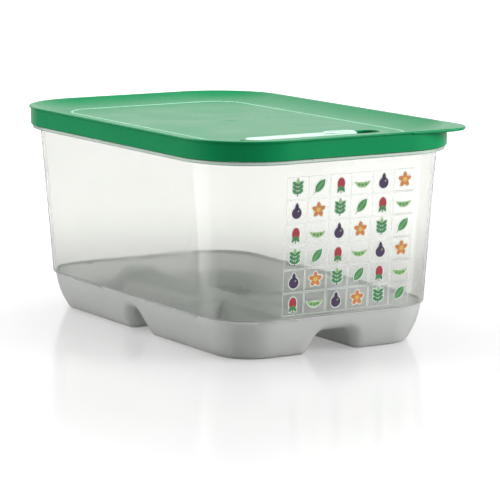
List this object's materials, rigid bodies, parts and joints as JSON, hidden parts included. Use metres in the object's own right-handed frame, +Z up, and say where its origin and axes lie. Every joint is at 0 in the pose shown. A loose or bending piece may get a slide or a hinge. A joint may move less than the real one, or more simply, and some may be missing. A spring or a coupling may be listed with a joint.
{
  "type": "ventilated produce keeper",
  "caption": "Rectangular see-through food keeper on moulded feet, with a press-fit lid, a corner pull tab and a sliding vent shutter.",
  "frame": {"origin": "middle of the base, on the plane of the four feet", "axes": "+Z up, the short front wall with the printed guide faces -Y, +X to the right seen from the front"},
  "size_m": [0.2216, 0.3426, 0.1638],
  "materials": {
    "clear_wall": "see-through moulded plastic, satin, frosted below the step",
    "green_lid": "satin flexible green plastic",
    "pale_shutter": "satin pale plastic"
  },
  "bodies": {
    "container": {"container": "clear_wall"},
    "lid": {"lid": "green_lid"},
    "shutter": {"vent_shutter": "pale_shutter"}
  },
  "joints": [
    {"name": "lid_lift", "type": "slide", "parent": "container", "child": "lid", "axis": [0, 0, 1], "range_m": [0, 0.08]},
    {"name": "vent_slide", "type": "slide", "parent": "lid", "child": "shutter", "axis": [1, 0, 0], "range_m": [0, 0.019]}
  ]
}
